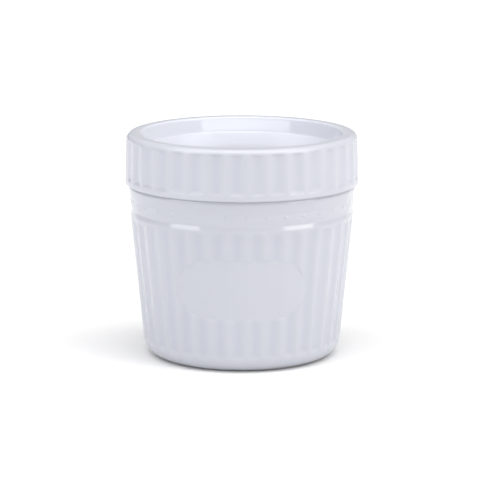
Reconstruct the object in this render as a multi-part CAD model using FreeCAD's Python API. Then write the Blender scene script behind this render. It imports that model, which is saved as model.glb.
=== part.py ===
import FreeCAD, Part
import math
import os

# A small glazed crock for fermenting vegetables, closed by a screw lid.
# Millimetres, +Z up. The origin is the centre of the foot's resting face, the label
# panel faces -Y and +X is to the right of someone who looks at the panel.

# ---- driving dimensions -------------------------------------------------------------
lid_radius = 75.0
overall_height = 144.0
flute_count = 36
ridge_phase = 2.5            # degrees from the front to the nearest ridge, towards +X

# crock
wall_slope = 0.1004          # radius gained per millimetre of height
wall_radius_at_floor = 62.6  # the fluted wall's ridge line, carried down to the floor
heel_round = 11.2
foot_inner_radius = 46.0
foot_recess = 1.6
wall_thickness = 6.2
floor_top = 7.5
floor_round = 8.0
bead_height = 92.3
groove_radius = 70.75
groove_height = 95.1
collar_low = 98.4            # the plain collar between the groove and the shoulder
collar_low_radius = 71.55
collar_high = 102.6
collar_high_radius = 71.65
shoulder_radius = 73.05
shoulder_turn = 109.9        # where the shoulder leans inwards
shoulder_height = 111.15
shoulder_top_radius = 72.1
neck_radius = 67.5
neck_inside_low = 113.0      # the inside widens from the neck below this height
inner_shoulder = 98.0
mouth_radius = 61.5
rim_height = 127.5
crock_flute_low = 9.5
crock_flute_high = 91.6
flute_depth = 1.0
ridge_width = 1.4
pip_height = 100.6
pip_stand = 0.3
pip_ball = 2.6
clay_overlap = 3.0           # how far a piece of the casting reaches into its neighbour

# label panel, sunk a little below the ridges
panel_half_width = 39.6
panel_half_height = 18.9
panel_height = 53.8
panel_set_back = 0.8

# lid
lid_bottom = 111.5
lid_band_turn = 113.4        # where the band starts to run into the ridges
lid_band_top = 115.8
lid_flute_top = 140.4
lid_ridge_radius_low = 74.8
lid_ridge_radius_high = 74.15
lid_shell_thickness = 3.4
recess_top_radius = 64.3
recess_floor_radius = 60.8
recess_floor = 134.0
lid_floor_thickness = 2.7
lid_roof_thickness = 2.8
lid_rim_round = 4.2
dish_wall_thickness = 2.6

# screw liner, seal and thread
liner_gap = 0.1
liner_wall = 1.6
liner_bottom = 112.6
liner_web_inner_radius = 58.0
seal_inner_radius = 60.9
seal_outer_radius = 68.3
seal_thickness = 1.8
thread_starts = 6
thread_pitch = 6.0
thread_low = 113.6
thread_root_height = 2.4
thread_crest_height = 1.3
thread_play = 0.3
neck_thread_stand = 1.9
lid_thread_gap = 0.7
lug_embed = 0.8
neck_lug_span = 72.0
lid_lug_start = 20.0
lid_lug_span = 50.0

# fermenting weights
weight_radius = 54.5
weight_thickness = 14.0
weight_notch_radius = 11.0
weight_half_gap = 0.6
weight_lift = 0.1
weight_round = 3.0
weight_heel_round = 5.0
weight_edge_round = 1.2

# ---- values that follow -------------------------------------------------------------
thread_lead = thread_starts * thread_pitch
lid_inner_radius = lid_radius - lid_shell_thickness
liner_outer_radius = lid_inner_radius - liner_gap
liner_inner_radius = liner_outer_radius - liner_wall
lid_floor_under = recess_floor - lid_floor_thickness
seal_top = rim_height + seal_thickness
up = FreeCAD.Vector(0, 0, 1)
origin = FreeCAD.Vector(0, 0, 0)


def wall_radius(height):
    """Radius of the crock's ridge line at a height."""
    return wall_radius_at_floor + wall_slope * height


def at(radius, angle, height):
    """A point from its radius, its angle in degrees and its height."""
    turn = math.radians(angle)
    return FreeCAD.Vector(radius * math.cos(turn), radius * math.sin(turn), height)


def front_angle(degrees_right):
    """Polar angle of a place that is some degrees to the right of the front."""
    return degrees_right - 90.0


def rounded_outline(corners):
    """Closed face in the XZ plane from (radius, height, corner round) triples."""
    ends = []
    arcs = []
    for index, (radius, height, corner_round) in enumerate(corners):
        here = FreeCAD.Vector(radius, 0, height)
        before = corners[index - 1]
        after = corners[(index + 1) % len(corners)]
        back = (FreeCAD.Vector(before[0], 0, before[1]) - here).normalize()
        ahead = (FreeCAD.Vector(after[0], 0, after[1]) - here).normalize()
        if corner_round == 0:
            ends.append((here, here))
            arcs.append(None)
            continue
        half_angle = back.getAngle(ahead) / 2
        reach = corner_round / math.tan(half_angle)
        entry = here + back * reach
        leave = here + ahead * reach
        inward = (back + ahead).normalize()
        middle = here + inward * (corner_round / math.sin(half_angle) - corner_round)
        ends.append((entry, leave))
        arcs.append(Part.Arc(entry, middle, leave).toShape())
    edges = []
    for index in range(len(corners)):
        if arcs[index] is not None:
            edges.append(arcs[index])
        line_start = ends[index][1]
        line_end = ends[(index + 1) % len(corners)][0]
        if (line_end - line_start).Length > 1e-6:
            edges.append(Part.makeLine(line_start, line_end))
    return Part.Face(Part.Wire(edges))


def turned(corners, sweep=360.0):
    """Solid of revolution about the axis."""
    return rounded_outline(corners).revolve(origin, up, sweep)


def flute_cutters(low, high, ridge_low, ridge_high, round_low, round_high):
    """One round-nosed cutter per flute, each a little narrower than the flute pitch.

    The cutter is a cone that shrinks with the wall, so the ridges keep their width in
    proportion. A ball at an end gives the flute a round arch, no ball a square end.
    """
    def ridge(height):
        return ridge_low + (ridge_high - ridge_low) * (height - low) / (high - low)

    def half_width(height):
        return (2 * math.pi * ridge(height) / flute_count - ridge_width) / 2

    def seat(height):
        """Distance from the axis to the cutter's middle, and the cutter's radius."""
        bite = flute_depth - half_width(height) ** 2 / (2 * ridge(height))
        nose = (half_width(height) ** 2 + bite ** 2) / (2 * bite)
        return ridge(height) - flute_depth + nose, nose

    cone_low = low + half_width(low) if round_low else low
    cone_high = high - half_width(high) if round_high else high
    low_reach, low_nose = seat(cone_low)
    high_reach, high_nose = seat(cone_high)
    cutters = []
    for index in range(flute_count):
        angle = front_angle(ridge_phase + (index + 0.5) * 360.0 / flute_count)
        start = at(low_reach, angle, cone_low)
        finish = at(high_reach, angle, cone_high)
        run = finish - start
        cutter = Part.makeCone(low_nose, high_nose, run.Length, start, run)
        if round_low:
            cutter = cutter.fuse(Part.makeSphere(low_nose, start))
        if round_high:
            cutter = cutter.fuse(Part.makeSphere(high_nose, finish))
        cutters.append(cutter)
    return cutters


def thread_lugs(root_radius, crest_radius, embed_radius, low, start, span):
    """Helical lugs, one per thread start, whose ends fade out into the wall."""
    stations = 10
    fade_share = 0.18
    least_stand = 0.06
    chamfer = (thread_root_height - thread_crest_height) / 2
    lugs = []
    for lug in range(thread_starts):
        sections = []
        for station in range(stations + 1):
            share = station / stations
            turn = start + span * share
            height = low + thread_lead * turn / 360.0
            angle = front_angle(turn + lug * 360.0 / thread_starts)
            fade = min(1.0, share / fade_share, (1 - share) / fade_share)
            stand = max(fade, least_stand)
            crest = root_radius + (crest_radius - root_radius) * stand
            corners = [at(embed_radius, angle, height),
                       at(root_radius, angle, height),
                       at(crest, angle, height + chamfer),
                       at(crest, angle, height + thread_root_height - chamfer),
                       at(root_radius, angle, height + thread_root_height),
                       at(embed_radius, angle, height + thread_root_height)]
            sections.append(Part.makePolygon(corners + corners[:1]))
        lugs.append(Part.makeLoft(sections, True, False))
    return lugs


def panel_slab(inner, outer):
    """Oval slab that follows the wall, between two offsets from the panel's face."""
    low = panel_height - panel_half_height - clay_overlap
    high = panel_height + panel_half_height + clay_overlap
    face_low = wall_radius(low) - panel_set_back
    face_high = wall_radius(high) - panel_set_back
    ring = turned([(face_low + inner, low, 0), (face_low + outer, low, 0),
                   (face_high + outer, high, 0), (face_high + inner, high, 0)])
    bend = panel_half_height
    side = panel_half_width - bend
    bottom = panel_height - bend
    top = panel_height + bend
    left = Part.Arc(FreeCAD.Vector(-side, 0, top),
                    FreeCAD.Vector(-panel_half_width, 0, panel_height),
                    FreeCAD.Vector(-side, 0, bottom)).toShape()
    right = Part.Arc(FreeCAD.Vector(side, 0, bottom),
                     FreeCAD.Vector(panel_half_width, 0, panel_height),
                     FreeCAD.Vector(side, 0, top)).toShape()
    floor = Part.makeLine(FreeCAD.Vector(-side, 0, bottom), FreeCAD.Vector(side, 0, bottom))
    roof = Part.makeLine(FreeCAD.Vector(side, 0, top), FreeCAD.Vector(-side, 0, top))
    outline = Part.Face(Part.Wire([left, floor, right, roof]))
    return ring.common(outline.extrude(FreeCAD.Vector(0, -lid_radius, 0)))


def crock_body():
    """Slip-cast pot: foot, heel, fluted wall, bead, groove, shoulder and screw neck."""
    inner_at_floor = wall_radius(floor_top) - wall_thickness
    body = turned([
        (0, foot_recess, 0),
        (foot_inner_radius - foot_recess, foot_recess, 1.0),
        (foot_inner_radius, 0, 1.0),
        (wall_radius_at_floor, 0, heel_round),
        (wall_radius(bead_height), bead_height, 3.5),
        (groove_radius, groove_height, 1.6),
        (collar_low_radius, collar_low, 2.0),
        (collar_high_radius, collar_high, 6.0),
        (shoulder_radius, shoulder_turn, 2.2),
        (shoulder_top_radius, shoulder_height, 0.5),
        (neck_radius, shoulder_height, 0.8),
        (neck_radius, rim_height, 1.5),
        (mouth_radius, rim_height, 1.5),
        (mouth_radius, neck_inside_low, 10.0),
        (wall_radius(inner_shoulder) - wall_thickness, inner_shoulder, 14.0),
        (inner_at_floor, floor_top, floor_round),
        (0, floor_top, 0)])
    cutters = flute_cutters(crock_flute_low, crock_flute_high,
                            wall_radius(crock_flute_low), wall_radius(crock_flute_high),
                            True, True)
    body = body.cut(cutters + [panel_slab(0, clay_overlap)])
    pips = []
    for index in range(flute_count):
        angle = front_angle(ridge_phase + index * 360.0 / flute_count)
        pip_centre = at(collar_low_radius + pip_stand - pip_ball, angle, pip_height)
        pips.append(Part.makeSphere(pip_ball, pip_centre))
    lugs = thread_lugs(neck_radius, neck_radius + neck_thread_stand,
                       neck_radius - lug_embed, thread_low, 0.0, neck_lug_span)
    return body.fuse([panel_slab(-clay_overlap, 0)] + pips + lugs).removeSplitter()


def lid_shell():
    """Fluted cap with a rolled rim and a dished top that takes another crock's foot."""
    channel_inner_radius = recess_top_radius + dish_wall_thickness
    shell = turned([
        (0, lid_floor_under, 0),
        (recess_floor_radius + dish_wall_thickness, lid_floor_under, 1.0),
        (channel_inner_radius, overall_height - lid_roof_thickness, 1.0),
        (lid_inner_radius, overall_height - lid_roof_thickness, 1.2),
        (lid_inner_radius, lid_bottom, 0.6),
        (lid_radius, lid_bottom, 1.2),
        (lid_radius, lid_band_turn, 4.0),
        (lid_ridge_radius_low, lid_band_top, 4.0),
        (lid_ridge_radius_high, overall_height, lid_rim_round),
        (recess_top_radius, overall_height, 1.8),
        (recess_floor_radius, recess_floor, 1.6),
        (0, recess_floor, 0)])
    cutters = flute_cutters(lid_band_top, lid_flute_top,
                            lid_ridge_radius_low, lid_ridge_radius_high, False, True)
    return shell.cut(cutters).removeSplitter()


def lid_liner():
    """Threaded ring bonded inside the cap; its web closes the hollow rim from below."""
    ring = turned([
        (liner_web_inner_radius, seal_top, 0.5),
        (liner_inner_radius, seal_top, 0.8),
        (liner_inner_radius, liner_bottom, 0.4),
        (liner_outer_radius, liner_bottom, 0.3),
        (liner_outer_radius, lid_floor_under, 0.4),
        (liner_web_inner_radius, lid_floor_under, 0.5)])
    lug_low = thread_low - thread_root_height - thread_play
    lugs = thread_lugs(liner_inner_radius, neck_radius + lid_thread_gap,
                       liner_inner_radius + lug_embed, lug_low, lid_lug_start, lid_lug_span)
    return ring.fuse(lugs).removeSplitter()


def lid_gasket():
    """Flat silicone ring between the liner's web and the crock's rim."""
    edge_round = 0.4
    return turned([
        (seal_inner_radius, rim_height, edge_round),
        (seal_outer_radius, rim_height, edge_round),
        (seal_outer_radius, seal_top, edge_round),
        (seal_inner_radius, seal_top, edge_round)])


def fermenting_weight(side):
    """Half-moon weight, side -1 for the left and +1 for the right, with a finger notch."""
    low = floor_top + weight_lift
    high = low + weight_thickness
    half_ring = turned([
        (weight_notch_radius, low, weight_round),
        (weight_radius, low, weight_heel_round),
        (weight_radius, high, weight_round),
        (weight_notch_radius, high, weight_round)], 180.0)
    straight_edges = []
    for face in half_ring.Faces:
        box = face.BoundBox
        if box.YLength < 1e-6:
            straight_edges.extend(face.Edges)
    half_ring = half_ring.makeFillet(weight_edge_round, straight_edges)
    half_ring.rotate(origin, up, -90.0 if side > 0 else 90.0)
    half_ring.translate(FreeCAD.Vector(side * weight_half_gap, 0, 0))
    return half_ring


def build():
    """Every sub-part's solid by its node's name."""
    return {
        "crock_body": crock_body(),
        "lid_shell": lid_shell(),
        "lid_liner": lid_liner(),
        "lid_gasket": lid_gasket(),
        "weight_left": fermenting_weight(-1),
        "weight_right": fermenting_weight(1),
    }


os.makedirs("parts", exist_ok=True)
for node, shape in build().items():
    print(node, "valid", shape.isValid(), "solids", len(shape.Solids),
          "volume cm3", round(shape.Volume / 1000, 2))
    shape.exportStep("parts/" + node + ".step")
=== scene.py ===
# %% [markdown]
# # A glazed crock with a screw lid
# The crock is a fluted pot that tapers to its foot. A lid with the same flutes screws onto its
# neck, and inside the lid sit a threaded liner and a seal. Two half-moon weights lie on the
# crock's floor. The frame below holds the measured solids of all these pieces. This lesson
# gives each piece a finished surface, in metres, in the same place as its solid.

# %% Load the frame
import math

import bmesh
import bpy
import numpy as np
from mathutils import Matrix, Vector


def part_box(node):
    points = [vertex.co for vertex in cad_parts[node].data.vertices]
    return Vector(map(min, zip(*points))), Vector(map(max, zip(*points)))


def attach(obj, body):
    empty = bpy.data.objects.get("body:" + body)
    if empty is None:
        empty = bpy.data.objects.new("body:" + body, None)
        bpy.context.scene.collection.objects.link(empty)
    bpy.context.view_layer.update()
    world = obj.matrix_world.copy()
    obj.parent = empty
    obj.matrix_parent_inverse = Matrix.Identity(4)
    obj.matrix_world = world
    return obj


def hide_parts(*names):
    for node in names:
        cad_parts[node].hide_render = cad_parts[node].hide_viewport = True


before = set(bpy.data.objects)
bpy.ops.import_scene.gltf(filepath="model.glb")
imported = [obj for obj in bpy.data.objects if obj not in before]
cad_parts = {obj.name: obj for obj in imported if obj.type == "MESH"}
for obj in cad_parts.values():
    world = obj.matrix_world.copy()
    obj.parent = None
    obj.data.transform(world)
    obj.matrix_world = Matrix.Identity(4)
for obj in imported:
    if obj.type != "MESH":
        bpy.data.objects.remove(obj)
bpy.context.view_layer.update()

print("frame loaded:", sorted(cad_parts))

# %% [markdown]
# ## Sizes
# Every size that the frame knows is read from it, so the pieces can't drift away from their
# solids: the lid's radius, the height of the rim, the lower edge of the lid. The rest are the
# few sizes of the glazed surface itself, such as how deep a flute is.

# %% Sizes
mm = 0.001
lid_low, lid_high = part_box("lid_shell")
crock_low, crock_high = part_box("crock_body")
seal_low, seal_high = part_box("lid_gasket")
liner_low, liner_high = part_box("lid_liner")

lid_radius = lid_high.x
lid_bottom = lid_low.z
lid_top = lid_high.z
rim_height = crock_high.z

flute_count = 36
flute_pitch = 2 * math.pi / flute_count
ridge_angle = math.radians(2.5 - 90)
samples_per_flute = 14
around = flute_count * samples_per_flute
flute_depth = 1.0 * mm
print("lid radius", round(lid_radius / mm, 1), "mm, height", round(lid_top / mm, 1), "mm")

# %% [markdown]
# ## Turned profiles
# Pots and lids are turned shapes, so each starts as half of its cross-section. The corners are
# placed first and then rounded by a vertex bevel, as a potter rounds an edge with a wet finger:
# the bevel's offset is worked out so that the arc has the wanted radius. Long straight runs
# are cut into short rows, because the flutes will be pressed into them later.

# %% Profile helpers
arc_step = math.radians(14)
merge_distance = 1e-6


def profile(corners, closed):
    """Half cross-section from (radius, height, corner round) triples, in metres."""
    shape = bmesh.new()
    points = [shape.verts.new((radius, 0, height)) for radius, height, _ in corners]
    for start, end in zip(points, points[1:]):
        shape.edges.new((start, end))
    if closed:
        shape.edges.new((points[-1], points[0]))
    for point, (_, _, corner_round) in zip(points, corners):
        if corner_round > 0:
            arms = [edge.other_vert(point).co - point.co for edge in point.link_edges]
            half_angle = arms[0].angle(arms[1]) / 2
            turn = math.pi - 2 * half_angle
            segments = max(2, math.ceil(turn / arc_step))
            bmesh.ops.bevel(shape, geom=[point], offset=corner_round / math.tan(half_angle),
                            offset_type="OFFSET", segments=segments, profile=0.5,
                            affect="VERTICES", material=-1, clamp_overlap=False)
    return shape


def cut_rows(shape, low, high, pitch, least_radius=0.0):
    """Cuts the profile's edges between two heights into rows no taller than pitch."""
    for edge in shape.edges[:]:
        ends = [vert.co for vert in edge.verts]
        middle = (ends[0] + ends[1]) / 2
        cuts = math.ceil(edge.calc_length() / pitch) - 1
        if low < middle.z < high and middle.x > least_radius and cuts > 0:
            bmesh.ops.subdivide_edges(shape, edges=[edge], cuts=cuts)


def cut_at(shape, height):
    """Cuts the profile's edges where they pass a height, so rows can start there."""
    bmesh.ops.bisect_plane(shape, geom=shape.verts[:] + shape.edges[:],
                           plane_co=(0, 0, height), plane_no=(0, 0, 1))


def turn_profile(shape, steps, start_angle=ridge_angle, sweep=2 * math.pi):
    """Spins a profile about the crock's axis, closes the poles and turns faces outwards."""
    whole = abs(sweep - 2 * math.pi) < 1e-9
    bmesh.ops.rotate(shape, verts=shape.verts, cent=(0, 0, 0),
                     matrix=Matrix.Rotation(start_angle, 3, "Z"))
    bmesh.ops.spin(shape, geom=shape.verts[:] + shape.edges[:], cent=(0, 0, 0), axis=(0, 0, 1),
                   angle=sweep, steps=steps, use_merge=whole)
    bmesh.ops.remove_doubles(shape, verts=shape.verts, dist=merge_distance)
    bmesh.ops.recalc_face_normals(shape, faces=shape.faces)


def finish_piece(shape, name, body, node):
    """Makes a smooth object of the shape, rides it on a body and stands it for its solid."""
    mesh = bpy.data.meshes.new(name)
    shape.to_mesh(mesh)
    shape.free()
    mesh.shade_smooth()
    piece = bpy.data.objects.new(name, mesh)
    bpy.context.scene.collection.objects.link(piece)
    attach(piece, body)
    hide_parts(node)
    mesh.calc_loop_triangles()
    print(name, len(mesh.vertices), "points,", len(mesh.loop_triangles), "triangles")
    return piece


# %% [markdown]
# ## Pressing flutes into a wall
# The flutes are shallow round-bottomed grooves, all of one width, with a rounded ridge between
# two of them and a round arch at each end. They could be cut with a row of tools, but a moved
# vertex keeps an even net of faces, which a glossy surface needs. So each vertex asks how far
# it is from the middle of its flute, and goes inwards by a formula. The same number is stored
# on the mesh, and the finish darkens the flutes by it: partly pooled glaze, partly painted shade.

# %% Flute helpers
gather_power = 1.45
flute_fullness = 2.3


def smooth_step(low, high, value):
    """0 below low, 1 above high, with an even ease from one to the other."""
    share = np.clip((value - low) / (high - low), 0, 1)
    return share * share * (3 - 2 * share)


def polar(shape):
    """Radius, angle and height of every vertex of a shape."""
    x, y, z = np.array([vert.co.to_tuple() for vert in shape.verts]).T
    return np.hypot(x, y), np.arctan2(y, x), z


def place(shape, radius, angle, height):
    """Puts every vertex where its radius, angle and height say."""
    places = np.stack((radius * np.cos(angle), radius * np.sin(angle), height), axis=1)
    for vert, where in zip(shape.verts, places.tolist()):
        vert.co = where


def gather_at_ridges(angle):
    """Moves the net's columns towards the ridges, where the surface turns quickest."""
    turns = (angle - ridge_angle) / flute_pitch
    flute = np.floor(turns)
    across = turns - flute
    near = 1 - 2 * np.abs(across - 0.5)
    gathered = 0.5 * near ** gather_power
    across = np.where(across < 0.5, gathered, 1 - gathered)
    return ridge_angle + (flute + across) * flute_pitch


def flute_press(angle, height, low, high, low_reach, high_reach, low_square, high_square):
    """How far into a flute each place is: 0 on the wall, 1 along the middle of a flute.

    low and high are the flute's ends, the reaches are how long its two arches are, and the
    squares are how square they are: 2 is a plain ellipse.
    """
    turns = (angle - ridge_angle) / flute_pitch
    across = 2 * np.abs(turns - np.floor(turns) - 0.5)
    over = np.maximum((height - (high - high_reach)) / high_reach, 0)
    under = np.maximum(((low + low_reach) - height) / low_reach, 0)
    along = np.maximum(over, under)
    squareness = np.where(under > over, low_square, high_square)
    reach = (across ** squareness + along ** squareness) ** (1 / squareness)
    reach = np.minimum(reach, 1)
    return 1 - reach ** flute_fullness * (flute_fullness + 1 - flute_fullness * reach)


def store(shape_object, name, values):
    """Keeps one number per vertex on the mesh, for the finish to read."""
    layer = shape_object.data.attributes.new(name, "FLOAT", "POINT")
    layer.data.foreach_set("value", np.asarray(values, dtype=np.float32))


# %% [markdown]
# ## The crock's body
# The pot is slip-cast: a foot ring, a round heel, a wall that leans outwards, then a bead, a
# groove, a ring of small pips, a shoulder, and the neck that carries the screw thread. The
# whole section, outside and inside, is one closed profile, spun once.

# %% Crock section
wall_at_floor = 62.6 * mm
wall_slope = 0.1004
wall_thickness = 6.2 * mm
floor_top = 7.5 * mm
foot_inner_radius = 46 * mm
foot_recess = 1.6 * mm
heel_round = 11.2 * mm
bead_height = 92.3 * mm
bead_round = 3.5 * mm
groove_height = 95.1 * mm
groove_radius = 70.95 * mm
collar_low_height = 98.4 * mm
collar_low_radius = 71.55 * mm
collar_high_height = 102.6 * mm
collar_high_radius = 71.65 * mm
shoulder_height = 111.38 * mm
shoulder_radius = 73.05 * mm
shoulder_turn = 109.9 * mm
shoulder_top_radius = 72.1 * mm
neck_radius = 67.5 * mm
mouth_radius = 61.5 * mm
mouth_low = 113 * mm
inner_shoulder = 98 * mm


def wall_radius(height):
    """Radius of the ridge line at a height."""
    return wall_at_floor + wall_slope * height


def inner_radius(height):
    """Radius of the inside at a height."""
    return wall_radius(height) - wall_thickness


def crock_section():
    """The whole pot's half section, with its long walls cut into rows for the flutes."""
    shape = profile([
        (0, foot_recess, 0),
        (foot_inner_radius - foot_recess, foot_recess, 1.0 * mm),
        (foot_inner_radius, 0, 1.0 * mm),
        (wall_at_floor, 0, heel_round),
        (wall_radius(bead_height), bead_height, bead_round),
        (groove_radius, groove_height, 1.6 * mm),
        (collar_low_radius, collar_low_height, 2.0 * mm),
        (collar_high_radius, collar_high_height, 6.0 * mm),
        (shoulder_radius, shoulder_turn, 3.0 * mm),
        (shoulder_top_radius, shoulder_height, 0.5 * mm),
        (neck_radius, shoulder_height, 0.8 * mm),
        (neck_radius, rim_height, 1.5 * mm),
        (mouth_radius, rim_height, 1.5 * mm),
        (mouth_radius, mouth_low, 10.0 * mm),
        (inner_radius(inner_shoulder), inner_shoulder, 14.0 * mm),
        (inner_radius(floor_top), floor_top, 8.0 * mm),
        (0, floor_top, 0)], closed=False)
    flutes_low, panel_low, panel_high, flutes_high = 19 * mm, 33 * mm, 75.5 * mm, 82 * mm
    for height in (flutes_low, panel_low, panel_high, flutes_high):
        cut_at(shape, height)
    # each row: from a height, to a height, the row's height, only outside a radius
    for low, high, row, least_radius in (
            (9 * mm, flutes_low, 0.9 * mm, 60.8 * mm),
            (flutes_low, panel_low, 4.0 * mm, 60.8 * mm),
            (panel_low, panel_high, 1.5 * mm, 64.8 * mm),
            (panel_high, flutes_high, 3.5 * mm, 67 * mm),
            (flutes_high, 93 * mm, 0.7 * mm, 69 * mm),
            (98.5 * mm, 103 * mm, 0.32 * mm, 69 * mm),
            (111 * mm, 126 * mm, 0.6 * mm, 67 * mm)):
        cut_rows(shape, low, high, row, least_radius)
    return shape


crock_shape = crock_section()
print("crock section has", len(crock_shape.verts), "points")
turn_profile(crock_shape, around)

# %% [markdown]
# ## Flutes, label panel, pips and thread
# Each of these is a height field on the wall. The label panel is an oval where the ridges are
# taken down to a smooth ground, so every ridge ends in a small rounded nose at its edge. The
# pips sit over the ridges. The thread is six short right-hand lugs, and because a lug's height
# on the wall depends only on its distance from a helix, one formula draws all six.

# %% Crock surface
panel_half_width = 39.6 * mm
panel_half_height = 18.9 * mm
panel_height = 53.8 * mm
panel_sunk = 0.8 * mm
panel_trace = 0.12
panel_edge_in = -0.2 * mm
panel_edge_out = 1.1 * mm
pip_height = 100.6 * mm
pip_radius = 1.6 * mm
pip_stand = 0.4 * mm
thread_starts = 6
thread_lead = 36 * mm
thread_low = 113.6 * mm
thread_height = 2.4 * mm
lug_span = 72
lug_height_on_neck = 1.9 * mm
crock_flutes = dict(low=8.9 * mm, high=91.9 * mm, low_reach=3.2 * mm, high_reach=4.8 * mm,
                    low_square=4.0, high_square=2.6)


def panel_distance(radius, angle, height):
    """Distance outside the panel's oval edge, seen from the front; negative inside."""
    sideways = radius * np.cos(angle)
    upwards = height - panel_height
    straight = panel_half_width - panel_half_height
    out = np.hypot(np.maximum(np.abs(sideways) - straight, 0), upwards) - panel_half_height
    return np.where(np.sin(angle) < 0, out, 1.0)


def thread_stand(angle, height, low, start, span):
    """Share of a lug's full height at each place; start and span are in degrees."""
    fade = math.radians(11)
    flank = 0.5 * mm
    start = math.radians(start)
    span = math.radians(span)
    stand = np.zeros_like(height)
    for lug in range(thread_starts):
        begin = -math.pi / 2 + start + lug * 2 * math.pi / thread_starts
        turned = np.mod(angle - begin, 2 * math.pi)
        climb = low + thread_lead * (turned + start) / (2 * math.pi)
        middle = climb + thread_height / 2
        off = np.abs(height - middle)
        rise = 1 - smooth_step(thread_height / 2 - flank, thread_height / 2, off)
        ends = smooth_step(0, fade, turned) * (1 - smooth_step(span - fade, span, turned))
        stand = np.maximum(stand, rise * ends)
    return stand


def outside_of_crock(radius, height):
    """True on the outer skin between the heel and the neck."""
    inner = wall_radius(height) - wall_thickness / 2
    return (radius > inner) & (height > 1 * mm) & (height < shoulder_height)


def refine_panel_edge(shape):
    """Halves the faces along the panel's edge, so the ridge noses are round."""
    near = 2.6 * mm
    radius, angle, height = polar(shape)
    away = np.abs(panel_distance(radius, angle, height))
    close = (away < near) & outside_of_crock(radius, height)
    for vert, is_close in zip(shape.verts, close.tolist()):
        vert.tag = is_close
    edges = [edge for edge in shape.edges if edge.verts[0].tag and edge.verts[1].tag]
    bmesh.ops.subdivide_edges(shape, edges=edges, cuts=1, use_grid_fill=True)
    print("panel edge:", len(edges), "edges halved")


def shape_crock(shape):
    """Moves every vertex of the spun crock to its finished place.

    The panel's ground keeps a faint trace of the flutes. Returns where glaze pools in the flutes,
    which also sets their painted shade.
    """
    radius, angle, height = polar(shape)
    angle = gather_at_ridges(angle)
    place(shape, radius, angle, height)
    refine_panel_edge(shape)
    radius, angle, height = polar(shape)
    skin = outside_of_crock(radius, height)
    press = np.where(skin, flute_press(angle, height, **crock_flutes), 0)
    away = panel_distance(radius, angle, height)
    outside = smooth_step(panel_edge_in, panel_edge_out, away)
    depth = flute_depth * press
    ground = panel_sunk + panel_trace * (depth - panel_sunk)
    depth = np.where(skin, ground + (depth - ground) * outside, 0)
    turns = (angle - ridge_angle) / flute_pitch
    sideways = (turns - np.round(turns)) * flute_pitch * radius
    from_pip = np.hypot(sideways, height - pip_height) / pip_radius
    dome = np.maximum(1 - from_pip ** 2, 0) ** 2
    depth = depth - np.where(skin, pip_stand * dome, 0)
    neck = (radius > neck_radius - 0.1 * mm) & (height > shoulder_height)
    lugs = thread_stand(angle, height, thread_low, 0, lug_span)
    depth = depth - np.where(neck, lug_height_on_neck * lugs, 0)
    place(shape, radius - depth, angle, height)
    return press * outside


crock_pool_and_shade = shape_crock(crock_shape)
crock = finish_piece(crock_shape, "crock_glazed", "crock", "crock_body")
# Stored for the finish: the flutes' darkening, partly pooled glaze and partly painted shade.
store(crock, "pool_and_shade", crock_pool_and_shade)

# %% [markdown]
# ## The lid's cap
# The cap is a thin shell: a plain band at its lower edge, a fluted skirt, a rolled rim and a
# dished top that takes the foot of another crock. Its flutes have squarer arches than the
# pot's, because they run up into the rim's rounding.

# %% Lid cap
lid_wall = 3.4 * mm
band_turn = 113.4 * mm
band_top = 115.8 * mm
ridge_low_radius = lid_radius - 0.2 * mm
ridge_high_radius = lid_radius - 0.85 * mm
dish_top_radius = 64.3 * mm
dish_floor_radius = 60.8 * mm
dish_floor = lid_top - 10 * mm
dish_thickness = 2.7 * mm
dish_wall = 2.6 * mm
rim_thickness = 2.8 * mm
rim_round = 4.2 * mm
skirt_inner = lid_radius - lid_wall
lid_flutes = dict(low=114.8 * mm, high=141.6 * mm, low_reach=3.0 * mm, high_reach=2.6 * mm,
                  low_square=4.5, high_square=4.5)


def lid_section():
    """The cap's half section: a hollow rim with the dish hung inside it."""
    shape = profile([
        (0, dish_floor - dish_thickness, 0),
        (dish_floor_radius + dish_wall, dish_floor - dish_thickness, 1.0 * mm),
        (dish_top_radius + dish_wall, lid_top - rim_thickness, 1.0 * mm),
        (skirt_inner, lid_top - rim_thickness, 1.2 * mm),
        (skirt_inner, lid_bottom, 0.6 * mm),
        (lid_radius, lid_bottom, 1.2 * mm),
        (lid_radius, band_turn, 4.0 * mm),
        (ridge_low_radius, band_top, 4.0 * mm),
        (ridge_high_radius, lid_top, rim_round),
        (dish_top_radius, lid_top, 1.8 * mm),
        (dish_floor_radius, dish_floor, 1.6 * mm),
        (0, dish_floor, 0)], closed=False)
    arches_low, arches_high = 121 * mm, 134.5 * mm
    outer = skirt_inner + 1 * mm
    cut_at(shape, arches_low)
    cut_at(shape, arches_high)
    cut_rows(shape, band_turn, arches_low, 0.4 * mm, outer)
    cut_rows(shape, arches_low, arches_high, 3.2 * mm, outer)
    cut_rows(shape, arches_high, lid_top - 4 * mm, 0.4 * mm, outer)
    cut_rows(shape, dish_floor, lid_top, 0.7 * mm, dish_floor_radius)
    return shape


def shape_lid(shape):
    """Presses the flutes into the skirt. Returns where glaze pools in them, which also sets their
    painted shade.
    """
    radius, angle, height = polar(shape)
    angle = gather_at_ridges(angle)
    skirt = radius > skirt_inner + 0.2 * mm
    press = np.where(skirt, flute_press(angle, height, **lid_flutes), 0)
    place(shape, radius - flute_depth * press, angle, height)
    return press


def painted_light_in_dish(shape):
    """Painted light for the dish: 1 on its wall, less on its floor, 0 elsewhere."""
    radius, angle, height = polar(shape)
    inside = 1 - smooth_step(dish_top_radius, dish_top_radius + 2.5 * mm, radius)
    wall = smooth_step(dish_floor_radius - 2.0 * mm, dish_floor_radius + 0.5 * mm, radius)
    above = smooth_step(dish_floor - 1.5 * mm, dish_floor - 0.5 * mm, height)
    return inside * above * (0.3 + 0.7 * wall)


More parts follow.
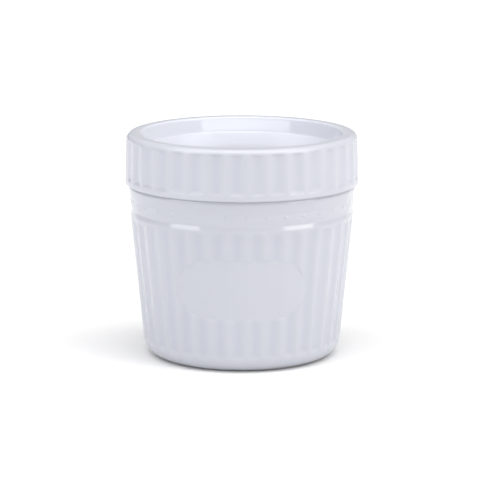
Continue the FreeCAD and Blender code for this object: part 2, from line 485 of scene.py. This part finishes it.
lid_shape = lid_section()
print("lid section has", len(lid_shape.verts), "points")
turn_profile(lid_shape, around)
lid_pool_and_shade = shape_lid(lid_shape)
# Painted light: a mask that makes the lid's dish brighter, most of all on its wall.
lid_painted_light = painted_light_in_dish(lid_shape)
lid_cap = finish_piece(lid_shape, "lid_cap_glazed", "lid", "lid_shell")
# Stored for the finish: the flutes' darkening, partly pooled glaze and partly painted shade.
store(lid_cap, "pool_and_shade", lid_pool_and_shade)
# Stored for the finish: the dish's painted light.
store(lid_cap, "dish_painted_light", lid_painted_light)

# %% [markdown]
# ## The threaded liner and its seal
# A glazed cap shrinks too unevenly in the kiln to carry a thread, so a moulded ring is bonded
# inside it. Its lugs ride under the crock's lugs with a little play. The seal is a flat
# silicone ring with two raised beads that bite on the crock's rim.

# %% Liner and seal
liner_outer = lid_radius - lid_wall - 0.1 * mm
liner_inner = liner_outer - 1.6 * mm
web_inner = 58 * mm
lug_reach = liner_inner - (neck_radius + 0.7 * mm)
lug_play = 0.3 * mm
liner_lug_start = 20
liner_lug_span = 50
seal_inner = 60.9 * mm
seal_outer = 68.3 * mm
seal_groove = 0.35 * mm


def liner_section():
    """The ring's half section: a wall outside, and a web over the seal."""
    shape = profile([
        (web_inner, seal_high.z, 0.5 * mm),
        (liner_inner, seal_high.z, 0.8 * mm),
        (liner_inner, liner_low.z, 0.4 * mm),
        (liner_outer, liner_low.z, 0.3 * mm),
        (liner_outer, liner_high.z, 0.4 * mm),
        (web_inner, liner_high.z, 0.5 * mm)], closed=True)
    cut_rows(shape, liner_low.z, seal_high.z, 0.5 * mm, liner_inner - 0.5 * mm)
    return shape


def shape_liner(shape):
    """Raises the lugs on the liner's inner wall."""
    radius, angle, height = polar(shape)
    wall = (np.abs(radius - liner_inner) < 0.2 * mm) & (height < seal_high.z - 0.5 * mm)
    low = thread_low - thread_height - lug_play
    lugs = thread_stand(angle, height, low, liner_lug_start, liner_lug_span)
    place(shape, radius - np.where(wall, lug_reach * lugs, 0), angle, height)


liner_shape = liner_section()
turn_profile(liner_shape, steps=360)
shape_liner(liner_shape)
liner = finish_piece(liner_shape, "threaded_liner", "lid", "lid_liner")


def seal_section():
    """A flat ring with one shallow groove underneath, which leaves a bead on either side."""
    low = seal_low.z
    width = seal_outer - seal_inner
    return profile([
        (seal_inner, low, 0.3 * mm),
        (seal_inner + width * 0.30, low, 0.25 * mm),
        (seal_inner + width * 0.42, low + seal_groove, 0.25 * mm),
        (seal_inner + width * 0.58, low + seal_groove, 0.25 * mm),
        (seal_inner + width * 0.70, low, 0.25 * mm),
        (seal_outer, low, 0.3 * mm),
        (seal_outer, seal_high.z, 0.4 * mm),
        (seal_inner, seal_high.z, 0.4 * mm)], closed=True)


seal_shape = seal_section()
turn_profile(seal_shape, steps=240)
seal = finish_piece(seal_shape, "silicone_seal", "lid_seal", "lid_gasket")

# %% [markdown]
# ## The half-moon weights
# Each weight is half of a thick ring: its curved side fits the crock, and the half-round notch
# makes a finger hole with its partner's. The ring's section is spun through half a turn, the
# two ends are filled, and their sharp edges are bevelled, as glazed ware never has one. A bevel
# can't be wider than the faces beside it, so the first and last step of the turn are widened.

# %% Weights
weight_outer = 54.5 * mm
weight_notch = 11 * mm
weight_gap = 0.6 * mm
weight_bevel = 1.2 * mm
weight_steps = 96


def widen_end_steps(shape, steps, wide):
    """Makes the first and last step of a half turn as wide as an angle, the rest even."""
    radius, angle, height = polar(shape)
    end = math.pi / 2
    step = math.pi / steps
    angle = np.interp(angle, (-end, step - end, end - step, end),
                      (-end, wide - end, end - wide, end))
    place(shape, radius, angle, height)


def make_weight(node, side):
    """One half-moon: side is -1 for the left one and 1 for the right one."""
    low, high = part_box(node)
    shape = profile([
        (weight_notch, low.z, 3 * mm),
        (weight_outer, low.z, 5 * mm),
        (weight_outer, high.z, 3 * mm),
        (weight_notch, high.z, 3 * mm)], closed=True)
    turn_profile(shape, weight_steps, start_angle=-math.pi / 2, sweep=math.pi)
    widen_end_steps(shape, weight_steps, math.radians(7.5))
    open_edges = [edge for edge in shape.edges if edge.is_boundary]
    filled = bmesh.ops.edgeloop_fill(shape, edges=open_edges)
    ends = filled["faces"]
    bmesh.ops.recalc_face_normals(shape, faces=shape.faces)
    rims = list({edge for face in ends for edge in face.edges})
    bmesh.ops.bevel(shape, geom=rims, offset=weight_bevel, offset_type="OFFSET", segments=4,
                    profile=0.5, affect="EDGES", material=-1, clamp_overlap=True)
    if side < 0:
        bmesh.ops.rotate(shape, verts=shape.verts, cent=(0, 0, 0),
                         matrix=Matrix.Rotation(math.pi, 3, "Z"))
    bmesh.ops.translate(shape, verts=shape.verts, vec=(side * weight_gap, 0, 0))
    word = "left" if side < 0 else "right"
    return finish_piece(shape, "half_moon_" + word, word + "_weight", node)


weights = [make_weight("weight_left", -1), make_weight("weight_right", 1)]

# %% [markdown]
# ## Shader maths as sums
# A finish is a small network of nodes. Written out node by node it hides its meaning, so one
# small class wraps a socket: adding or multiplying two of them adds the Math node that does it.

# %% Shader helper
class Signal:
    """One output of a shader network. Sums and products of signals add Math nodes."""

    def __init__(self, tree, socket):
        self.tree = tree
        self.socket = socket

    def node(self, kind, settings, inputs, output=0):
        """Adds a node, sets it up, feeds its sockets and returns one of its outputs."""
        made = self.tree.nodes.new(kind)
        for key, value in settings.items():
            setattr(made, key, value)
        for key, value in inputs.items():
            if isinstance(value, Signal):
                self.tree.links.new(value.socket, made.inputs[key])
            else:
                made.inputs[key].default_value = value
        return Signal(self.tree, made.outputs[output])

    def math(self, operation, *values):
        """Adds one Math node."""
        return self.node("ShaderNodeMath", {"operation": operation}, dict(enumerate(values)))

    def size(self):
        """The signal without its sign."""
        return self.math("ABSOLUTE", self)

    def __add__(self, other):
        return self.math("ADD", self, other)

    def __sub__(self, other):
        return self.math("SUBTRACT", self, other)

    def __mul__(self, other):
        return self.math("MULTIPLY", self, other)

    def __rsub__(self, other):
        return self.math("SUBTRACT", other, self)

    __radd__ = __add__
    __rmul__ = __mul__

    def part(self, axis):
        """One coordinate of a place: 0 is x, 1 is y, 2 is z."""
        return self.node("ShaderNodeSeparateXYZ", {}, {"Vector": self}, output=axis)

    def between(self, low, high):
        """0 below low, 1 above high, and an even ease from one to the other."""
        return self.node("ShaderNodeMapRange", {"interpolation_type": "SMOOTHSTEP"},
                         {"Value": self, "From Min": low, "From Max": high})

    def stored(self, name):
        """A number that store() kept on the mesh."""
        return self.node("ShaderNodeAttribute", {"attribute_name": name}, {}, output=2)

    def noise(self, scale, detail=2.0, roughness=0.5):
        """Cloudy noise at this place, about 0.5 on average."""
        return self.node("ShaderNodeTexNoise", {},
                         {"Vector": self, "Scale": scale, "Detail": detail,
                          "Roughness": roughness})

    def mix(self, low_colour, high_colour):
        """A colour between two, by this signal."""
        return self.node("ShaderNodeMix", {"data_type": "RGBA"},
                         {0: self, 6: low_colour, 7: high_colour}, output=2)

    def bump(self):
        """A tilted normal, from this signal as a height in metres."""
        return self.node("ShaderNodeBump", {},
                         {"Height": self, "Distance": 1.0, "Strength": 1.0})


def new_finish(name):
    """An empty material with its shader, and a Signal with the place on the object."""
    finish = bpy.data.materials.new(name)
    finish.use_nodes = True
    tree = finish.node_tree
    shader = tree.nodes["Principled BSDF"]
    place_node = tree.nodes.new("ShaderNodeTexCoord")
    return finish, shader, Signal(tree, place_node.outputs["Object"])


def connect(signal, socket):
    """Feeds a signal to a shader's socket."""
    signal.tree.links.new(signal.socket, socket)


def colour(red, green, blue):
    """An opaque colour."""
    return (red, green, blue, 1.0)


# %% [markdown]
# ## The glaze
# A white tin glaze isn't one flat white. It is a touch deeper and cooler in the flutes, partly
# where it pooled and partly as painted shade in the hollows, thinner on the ridges, and lighter
# in the lid's dish, which is painted light. It wavers a little as it flowed, and here and there
# a pinhole or a speck shows. Its gloss comes from a low roughness; the wavering is a bump far
# too shallow to see except in the reflections.

# %% Glaze
glaze_thin = colour(0.490, 0.501, 0.558)
# Darker flute colour: partly pooled glaze, partly painted shade in the hollows.
glaze_deep_and_shade = colour(0.449, 0.463, 0.536)
# Brighter dish colour: painted light on the lid's dish.
glaze_painted_light = colour(0.600, 0.614, 0.678)
speck_tone = colour(0.52, 0.50, 0.47)
bisque = colour(0.72, 0.69, 0.64)
bisque_pale = colour(0.80, 0.77, 0.72)
glaze_gloss = 0.07
waver_height = 0.050 * mm
ripple_height = 0.006 * mm
pinhole_depth = 0.030 * mm
bare_grain_height = 0.06 * mm
speck_share = 0.20


def glaze_finish(name, bare_below):
    """White glaze. Below the height bare_below the foot ring is left bare.

    The mesh's own numbers say where the flutes are darkened, partly by pooled glaze and partly as
    painted shade, and where the lid's dish gets painted light.
    """
    finish, shader, place_on = new_finish(name)
    pool_and_shade = place_on.stored("pool_and_shade")
    drift = place_on.noise(22.0, 3.0)
    cloud = place_on.noise(90.0, 2.0)
    # The flutes are darkened here: partly pooled glaze, partly painted shade in the hollows.
    depth = pool_and_shade * 0.55 + drift * 0.45 + cloud * 0.15 - 0.25
    dish_painted_light = place_on.stored("dish_painted_light")
    walls = depth.between(0.0, 1.0).mix(glaze_thin, glaze_deep_and_shade)
    # Painted light: the lid's dish is given the brighter colour.
    glazed = (dish_painted_light * (0.85 + cloud * 0.15)).mix(walls, glaze_painted_light)
    height = place_on.part(2) + cloud * (0.4 * mm)
    bare = 1 - height.between(bare_below - 0.2 * mm, bare_below + 0.3 * mm)
    specks = place_on.node("ShaderNodeTexVoronoi", {"feature": "F1"},
                           {"Vector": place_on, "Scale": 75.0})
    pinhole = 1 - specks.between(0.022, 0.050)
    grain = place_on.noise(1600.0, 3.0)
    tone = (pinhole * speck_share).mix(glazed, speck_tone)
    bare_tone = grain.mix(bisque, bisque_pale)
    connect(bare.mix(tone, bare_tone), shader.inputs["Base Color"])
    connect(glaze_gloss + drift * 0.05 + bare * 0.60, shader.inputs["Roughness"])
    waver = place_on.noise(55.0, 1.0) * waver_height + place_on.noise(230.0, 2.0) * ripple_height
    relief = waver - pinhole * pinhole_depth + bare * grain * bare_grain_height
    connect(relief.bump(), shader.inputs["Normal"])
    shader.inputs["IOR"].default_value = 1.52
    return finish


def use_finish(piece, finish):
    """Gives a piece its one material."""
    piece.data.materials.clear()
    piece.data.materials.append(finish)
    print(piece.name, "is finished with", finish.name)


use_finish(crock, glaze_finish("cool_white_glaze", 0.45 * mm))
use_finish(lid_cap, glaze_finish("cool_white_lid_glaze", -10 * mm))
for weight in weights:
    use_finish(weight, glaze_finish("cool_white_" + weight.name, -10 * mm))

# %% [markdown]
# ## Moulded plastic and silicone
# The liner is natural polypropylene: satin, slightly milky, with fine flow marks. The silicone
# seal is softer and a little see-through, with a dusting that dulls its shine.

# %% Plastic and silicone
mould_grain_height = 0.02 * mm


def moulded_finish(name, base, other, rough, grain_scale, softness):
    """Moulded plastic or rubber; softness is how far light soaks in."""
    finish, shader, place_on = new_finish(name)
    cloud = place_on.noise(35.0, 3.0)
    grain = place_on.noise(grain_scale, 3.0)
    connect(cloud.between(0.3, 0.7).mix(base, other), shader.inputs["Base Color"])
    connect(grain * 0.16 + rough, shader.inputs["Roughness"])
    connect((grain * mould_grain_height).bump(), shader.inputs["Normal"])
    shader.inputs["Subsurface Weight"].default_value = softness
    shader.inputs["Subsurface Scale"].default_value = 2 * mm
    return finish


use_finish(liner, moulded_finish(
    "natural_polypropylene", colour(0.80, 0.80, 0.78), colour(0.74, 0.745, 0.73),
    rough=0.32, grain_scale=900.0, softness=0.0))
use_finish(seal, moulded_finish(
    "milky_silicone", colour(0.74, 0.77, 0.78), colour(0.68, 0.71, 0.73),
    rough=0.42, grain_scale=1400.0, softness=0.25))

# %% [markdown]
# ## Floor, light and camera
# The crock stands on a plain pale floor in a white studio. The sky is the main light. It has
# four parts: a dim room, brighter to the right and upwards, a pale backdrop behind, a wide bright
# panel overhead, and a low curved strip in front that the far wall of the dish mirrors. Each part
# is a mask on the direction that the crock looks in. Two soft boxes at the sides then draw the
# two short bright lines on the bead.

# %% Floor
floor_radius = 9.0
floor_tone = colour(0.80, 0.80, 0.80)
floor_tone_pale = colour(0.82, 0.82, 0.82)


def make_floor():
    """A wide round sheet of matt white paper under the crock."""
    shape = bmesh.new()
    bmesh.ops.create_circle(shape, cap_ends=True, segments=96, radius=floor_radius)
    mesh = bpy.data.meshes.new("pale_floor")
    shape.to_mesh(mesh)
    shape.free()
    floor = bpy.data.objects.new("pale_floor", mesh)
    bpy.context.scene.collection.objects.link(floor)
    finish, shader, place_on = new_finish("pale_paper")
    cloud = place_on.noise(3.0, 2.0)
    connect(cloud.mix(floor_tone, floor_tone_pale), shader.inputs["Base Color"])
    shader.inputs["Roughness"].default_value = 0.9
    shader.inputs["Specular IOR Level"].default_value = 0.1
    mesh.materials.append(finish)
    print("floor", floor_radius, "m in radius")


make_floor()

# %% Sky
room_base = 0.03
room_right = 0.25
room_up = 0.42
backdrop_strength = 0.30
ceiling_strength = 3.1
ceiling_middle = -0.14
ceiling_half_width = 0.30
ceiling_left_share = 0.88
ceiling_right_gain = 0.24
strip_strength = 3.3
strip_height = 0.496
strip_bend = 0.125
strip_half_width = 0.046
soft_edge = 0.03


def make_sky():
    """The studio as the crock sees it: a dim room, a pale backdrop and two bright panels."""
    world = bpy.data.worlds.new("studio")
    bpy.context.scene.world = world
    world.use_nodes = True
    tree = world.node_tree
    background = tree.nodes["Background"]
    coordinates = tree.nodes.new("ShaderNodeTexCoord")
    towards = Signal(tree, coordinates.outputs["Generated"])
    x, y, z = (towards.part(axis) for axis in range(3))
    room = room_base + x.between(-0.9, 0.9) * room_right + z.between(0.1, 0.9) * room_up
    backdrop = y.between(0.1, 0.8) * (1 - z.between(0.3, 0.7)) * backdrop_strength

    off_ceiling = (y - ceiling_middle).size()
    ceiling_edge = off_ceiling.between(ceiling_half_width - soft_edge,
                                       ceiling_half_width + soft_edge)
    ceiling = z.between(0.60, 0.68) * (1 - ceiling_edge) * ceiling_strength
    ceiling = ceiling * (ceiling_left_share + x.between(-0.8, 0.8) * ceiling_right_gain)

    off_strip = (z - (strip_height - x * x * strip_bend)).size()
    strip_edge = off_strip.between(strip_half_width - 0.004, strip_half_width + 0.004)
    strip_ends = x.between(-0.82, -0.79) * (1 - x.between(0.69, 0.72))
    in_front = 1 - y.between(-0.3, -0.2)
    strip = (1 - strip_edge) * strip_ends * in_front * strip_strength

    background.inputs["Color"].default_value = colour(1, 1, 1)
    connect(room + backdrop + ceiling + strip, background.inputs["Strength"])


make_sky()

# %% Lamps
box_width = 0.75
box_height = 0.40
box_distance = 1.3
box_elevation = math.radians(13.5)
box_aim = Vector((0, 0, 0.1))


def soft_box(name, azimuth, radiance, tint):
    """Rectangular lamp aimed at the crock; azimuth 0 is in front, positive to the right."""
    lamp = bpy.data.lights.new(name, "AREA")
    lamp.shape = "RECTANGLE"
    lamp.size = box_width
    lamp.size_y = box_height
    lamp.energy = radiance * math.pi * box_width * box_height
    lamp.color = tint
    holder = bpy.data.objects.new(name, lamp)
    bpy.context.scene.collection.objects.link(holder)
    turn = math.radians(azimuth)
    level = math.cos(box_elevation)
    away = Vector((math.sin(turn) * level, -math.cos(turn) * level, math.sin(box_elevation)))
    holder.location = box_aim + away * box_distance
    holder.rotation_euler = away.to_track_quat("Z", "Y").to_euler()
    holder.visible_camera = False
    print(name, "gives", round(lamp.energy, 2), "W")


soft_box("left_box", azimuth=-60, radiance=4.2, tint=(1.0, 1.0, 1.0))
soft_box("right_box", azimuth=60, radiance=5.0, tint=(1.0, 0.975, 0.91))

# %% Camera
lens_length = 190.8
camera_place = (0.00038, -1.6274, 0.4003)
camera_down = math.radians(11.42)


def make_camera():
    """A long lens in front of the crock, looking a little down on it."""
    lens_data = bpy.data.cameras.new("camera")
    lens_data.lens = lens_length
    lens_data.sensor_width = 36.0
    lens_data.clip_start = 0.05
    camera = bpy.data.objects.new("camera", lens_data)
    bpy.context.scene.collection.objects.link(camera)
    camera.location = camera_place
    camera.rotation_euler = (math.pi / 2 - camera_down, 0, 0)
    bpy.context.scene.camera = camera
    print("camera at", tuple(round(value, 4) for value in camera.location))


make_camera()
bpy.context.scene.view_settings.view_transform = "Standard"

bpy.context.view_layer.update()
